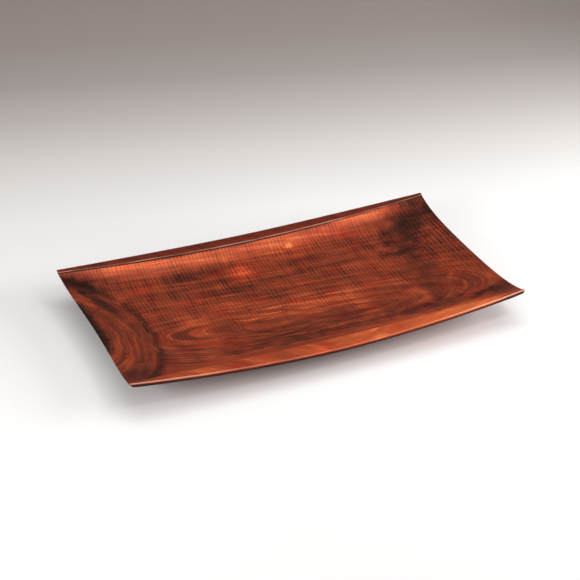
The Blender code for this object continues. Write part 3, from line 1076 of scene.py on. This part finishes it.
board_finish = figured_wood("lacquered_board", BOARD)
lipping_finish = figured_wood("lacquered_lipping", LIPPING)
runner_finish, peg_finish, felt_finish = (
    plain_finish(name, *how) for name, how in PLAIN_FINISHES.items()
)

RUNNER_PLACES = {"left": -RUNNER_PLACE, "right": RUNNER_PLACE}
cuts = [cut(x) for cut in (dovetail_cutter, peg_bore) for x in RUNNER_PLACES.values()]
make_piece("tray_board", cut_away(board_mesh(), cuts), board_finish)
make_piece("rear_lipping", lipping_mesh(1), lipping_finish)
make_piece("front_lipping", lipping_mesh(-1), lipping_finish)
pad_y = SOLE_HALF_WIDTH - PAD_INSET
for hand, x in RUNNER_PLACES.items():
    runner = cut_away(runner_mesh(x), [peg_bore(x)])
    make_piece(f"{hand}_runner", runner, runner_finish)
    make_piece(f"{hand}_runner_peg", peg_mesh(x), peg_finish)
    make_piece(f"{hand}_front_pad", pad_mesh(x, -pad_y), felt_finish)
    make_piece(f"{hand}_rear_pad", pad_mesh(x, pad_y), felt_finish)

# The studio: floor, lamps and world. Away and aside are as the camera sees them, in plan.
FLOOR_SIZE = 12.0
AWAY = (0.398, 0.917, 0.0)
ASIDE = (0.917, -0.398, 0.0)

# The paper turns from white to grey along a line in plan, between two places on it, as painted
# falloff of the light
PAPER_LINE = (0.27, 0.963, 0.0)
PAPER_WHITE_END = 0.14
PAPER_GREY_END = 1.3
PAPER_GREYS = [
    (0.00, (1.00, 1.00, 1.00)),
    (0.08, (0.97, 0.96, 0.95)),
    (0.22, (0.78, 0.75, 0.73)),
    (0.33, (0.60, 0.56, 0.54)),
    (0.43, (0.47, 0.43, 0.41)),
    (0.55, (0.43, 0.38, 0.36)),
    (1.00, (0.44, 0.385, 0.36)),
]
# Painted shade makes it darker in the far right corner, and a little at the left, by a share and
# over these fades
CORNER_DARK = 0.25
CORNER_ASIDE = (0.18, 0.58)
CORNER_ALONG = (0.35, 0.85)
LEFT_DARK = 0.07
LEFT_ASIDE = (0.05, -0.22)
LEFT_ALONG = (-0.22, 0.02)
LEFT_ALONG_END = (0.42, 0.18)
PAPER_UNSEEN = (0.8, 0.79, 0.78, 1)
BLACK = (0.0, 0.0, 0.0, 1)


def paper_colour(nodes, place):
    """White in front and greyer away from the camera, as painted falloff of the light."""
    along = nodes.along(place, PAPER_LINE)
    aside = nodes.along(place, ASIDE)
    grey = nodes.calc("SUBTRACT", along, PAPER_WHITE_END)
    grey = nodes.calc("DIVIDE", grey, PAPER_GREY_END - PAPER_WHITE_END)
    colour = nodes.ramp(grey, PAPER_GREYS)
    corner = nodes.times(nodes.fade(aside, *CORNER_ASIDE), nodes.fade(along, *CORNER_ALONG))
    colour = nodes.mix(nodes.times(corner, CORNER_DARK), colour, BLACK)
    left = nodes.times(
        nodes.fade(aside, *LEFT_ASIDE),
        nodes.fade(along, *LEFT_ALONG),
        nodes.fade(along, *LEFT_ALONG_END),
    )
    return nodes.mix(nodes.times(left, LEFT_DARK), colour, BLACK)


def add_floor():
    """A wide sheet of paper, whose greys are for the camera, gloss and glass to see."""
    mesh = bpy.data.meshes.new("studio_floor")
    bm = bmesh.new()
    bmesh.ops.create_grid(bm, x_segments=1, y_segments=1, size=FLOOR_SIZE / 2)
    bm.to_mesh(mesh)
    bm.free()
    floor = placed("studio_floor", mesh)
    paper, nodes, shader, place = new_finish("studio_paper")
    shader.inputs["Roughness"].default_value = 1.0
    shader.inputs["Specular IOR Level"].default_value = 0.0
    rays = nodes.node("LightPath").outputs
    shown = nodes.calc("MAXIMUM", rays["Is Camera Ray"], rays["Is Glossy Ray"])
    shown = nodes.calc("MAXIMUM", shown, rays["Is Transmission Ray"])
    colour = nodes.mix(shown, PAPER_UNSEEN, paper_colour(nodes, place))
    nodes.put(shader.inputs["Base Color"], colour)
    mesh.materials.append(paper)


# Each lamp: its place, what it is aimed at, its width and length, and its watts
LAMPS = {
    "overhead_softbox": ((0.25, 0.22, 1.15), (0.1, 0.0, 0.0), 1.8, 0.5, 6.0),
    "right_softbox": ((1.18, -0.52, 0.47), (0, 0, 0), 0.8, 0.5, 12.0),
    "left_softbox": ((-1.20, -0.40, 0.42), (0, 0, 0), 0.8, 0.6, 9.8),
    "front_spark": ((0.35, -0.62, 1.00), (0, 0, 0), 0.25, 0.10, 1.2),
}


def add_lamp(name, place, aim, width, length, watts):
    lamp = bpy.data.lights.new(name, "AREA")
    lamp.shape = "RECTANGLE"
    lamp.size = width
    lamp.size_y = length
    lamp.energy = watts
    made = placed(name, lamp)
    made.location = place
    made.rotation_euler = (Vector(aim) - Vector(place)).to_track_quat("-Z", "Y").to_euler()
    made.visible_camera = False


DOME_LIGHT = 0.32
DOME_REAR = 0.2
DOME_TURNS_REAR = (0.3, 0.8)
DOME_COLOUR = (1.0, 0.955, 0.93, 1.0)


def add_world():
    """Soft light from all round, dimmer at the rear, where the backdrop is grey."""
    world = bpy.data.worlds.new("studio")
    world.use_nodes = True
    nodes = Nodes(world.node_tree)
    light = world.node_tree.nodes["Background"]
    direction = nodes.node("TexCoord").outputs["Generated"]
    strength = nodes.fade(nodes.along(direction, AWAY), *DOME_TURNS_REAR, DOME_LIGHT, DOME_REAR)
    nodes.put(light.inputs["Strength"], strength)
    light.inputs["Color"].default_value = DOME_COLOUR
    bpy.context.scene.world = world


add_floor()
add_world()
for lamp_name, settings in LAMPS.items():
    add_lamp(lamp_name, *settings)

# The camera, solved from the photo's outlines
AZIMUTH = math.radians(-23.4611)
ELEVATION = math.radians(30.9724)
ROLL = math.radians(0.2324)
DISTANCE = 8.4909
SHIFT_RIGHT = 0.0085
SHIFT_UP = -0.051
AIM_HEIGHT = 0.038
LENS = 108.77
SENSOR = 36.0


def add_camera():
    sin_a, cos_a = math.sin(AZIMUTH), math.cos(AZIMUTH)
    sin_e, cos_e = math.sin(ELEVATION), math.cos(ELEVATION)
    back = Vector((sin_a * cos_e, -cos_a * cos_e, sin_e))
    right = Vector((cos_a, sin_a, 0))
    up = Vector((-sin_e * sin_a, sin_e * cos_a, cos_e))
    place = HALF_LENGTH * (SHIFT_RIGHT * right + SHIFT_UP * up + DISTANCE * back)
    place.z += AIM_HEIGHT
    turned_right = right * math.cos(ROLL) - up * math.sin(ROLL)
    turned_up = right * math.sin(ROLL) + up * math.cos(ROLL)
    lens = bpy.data.cameras.new("camera")
    lens.lens = LENS
    lens.sensor_width = SENSOR
    camera = placed("camera", lens)
    axes = Matrix((turned_right, turned_up, back)).transposed().to_4x4()
    axes.translation = place
    camera.matrix_world = axes
    bpy.context.scene.camera = camera


add_camera()
bpy.context.scene.view_settings.view_transform = "Standard"
